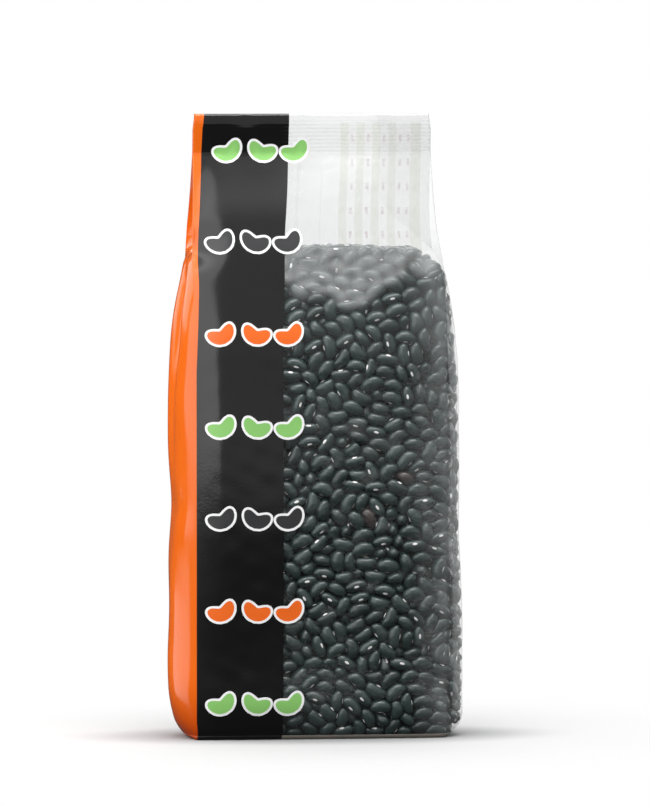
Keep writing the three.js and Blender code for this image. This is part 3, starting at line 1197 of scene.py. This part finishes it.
lamps = {
    # degrees right of straight on and up, metres away, wide and high, roll in degrees, radiance
    "overhead": (16, 70, 1.2, 1.0, 0.75, 0, 3.4),
    "leftBox": (-61.5, 24.5, 1.0, 1.9, 1.13, 1.5, 1.5),
    "leftLow": (-109, -10.9, 1.0, 0.62, 0.11, 0, 1.4),
    "glint": (6, 62, 1.2, 0.5, 0.05, 0, 20.0),
    "leftHigh": (-130, 22, 1.0, 0.7, 0.62, 0, 1.4),
    "rightBox": (116, 4, 1.0, 0.9, 0.6, 0, 1.2),
    "backBox": (170, 35, 1.2, 1.2, 0.7, 0, 2.0),
}


def softbox(name, azimuth, elevation, distance, width, height, roll, radiance):
    # A lamp that faces the bag; a square lamp's power is four times its area times its radiance
    light = bpy.data.lights.new(name, "AREA")
    light.shape = "RECTANGLE"
    light.size, light.size_y = width, height
    light.energy = 4 * width * height * radiance
    lamp = placed(name, light)
    way = wayTo(math.radians(azimuth), math.radians(elevation))
    lamp.location = way * distance + Vector(studio["lampsAim"])
    facing = way.to_track_quat("Z", "Y").to_euler()
    facing.rotate_axis("Z", math.radians(roll))
    lamp.rotation_euler = facing
    lamp.visible_camera = False


def makeLights():
    # The softboxes, and a world that is white to the camera. Mirrors see a room in it, bright above
    # the horizon in front and brightest high up, and other light comes softly from above.
    for name, values in lamps.items():
        softbox(name, *values)
    world = bpy.data.worlds.new("studio")
    bpy.context.scene.world = world
    world.use_nodes = True
    world.node_tree.nodes.clear()
    start = Wire(world.node_tree)
    way = start.node("ShaderNodeTexCoord")
    depth, height = [start.node("ShaderNodeSeparateXYZ", {}, {0: way}, out=side) for side in (1, 2)]
    front = 1 - depth.above(-0.2, 0.5)
    soft = 0.12 + 0.6 * height.above(0.1, 0.9)
    room = 0.06 + front * (0.55 * height.above(-0.061, 0.026) + 1.5 * height.above(0.67, 0.1))
    camera, mirrored = [start.node("ShaderNodeLightPath", out=ray) for ray in (0, 3)]
    level = soft + mirrored * (room - soft)
    level = level + camera * (1.0 - level)
    back = start.node("ShaderNodeBackground", {}, {"Color": (1, 1, 1, 1), "Strength": level})
    start.node("ShaderNodeOutputWorld", {}, {"Surface": back})


# The floor fades into the white round it. Near the bag it is darker, in an oval: a painted shadow.
floorLook = {
    "radius": 2600.0,
    "drop": 0.2,  # how far below the bag's base it is
    "oval": (66.0, 30.0),  # half width and half depth that the painted shadow is measured by
    # painted shadow: darker near the bag, paler further off
    "paintedShadow": ((0.35, 0.35, 0.353, 1), (0.55, 0.55, 0.55, 1)),
    "whiteFrom": 0.16,  # metres from the middle
}


def makeFloor():
    # A disc whose rings are further apart by a square
    angle = turns(64)[None, :]
    reach = (np.linspace(0, 1, 24)[:, None] ** 2) * floorLook["radius"]
    x, y = reach * np.cos(angle), reach * np.sin(angle)
    points = stacked(x, y, -floorLook["drop"])
    mesh = bpy.data.meshes.new("floor")
    faces = gridFaces(*x.shape, closed=True)[:, ::-1]
    mesh.from_pydata((points.reshape(-1, 3) * mm).tolist(), [], faces.tolist())
    floor = placed("floor", mesh)
    material, start = newFinish("paleFloor")
    place = start.node("ShaderNodeTexCoord", out=3)
    sizes = [1 / size for size in floorLook["oval"]] + [0]
    scaled = start.node("ShaderNodeVectorMath", {"operation": "MULTIPLY"}, {0: place, 1: sizes})
    length = {"operation": "LENGTH"}
    away, beside = [start.node("ShaderNodeVectorMath", length, {0: spot}, out=1) for spot in (place, scaled)]
    beside = beside * 1000
    # painted shadow: darker in the oval round the bag
    pale = painted(start, beside.above(1.4, 0.5), *floorLook["paintedShadow"])
    matt = gloss(start, {"Base Color": pale, "Roughness": 1.0, "Specular IOR Level": 0.0})
    white = start.node("ShaderNodeEmission", {}, {"Color": (1, 1, 1, 1), "Strength": 1.0})
    shown = blend(start, away.above(floorLook["whiteFrom"], 0.09), matt, white)
    # only the camera sees it
    unseen = start.node("ShaderNodeBsdfTransparent")
    endWith(start, blend(start, start.node("ShaderNodeLightPath", out=0), unseen, shown))
    mesh.materials.append(material)


makeCamera()
makeLights()
makeFloor()
print("camera, lights and floor set")
makeFilm()
makeTable()
makeMotifs()
makeBase()
makeBeans()
makeCore()

bpy.context.scene.view_settings.view_transform = "Standard"
bpy.context.scene.view_settings.look = "None"
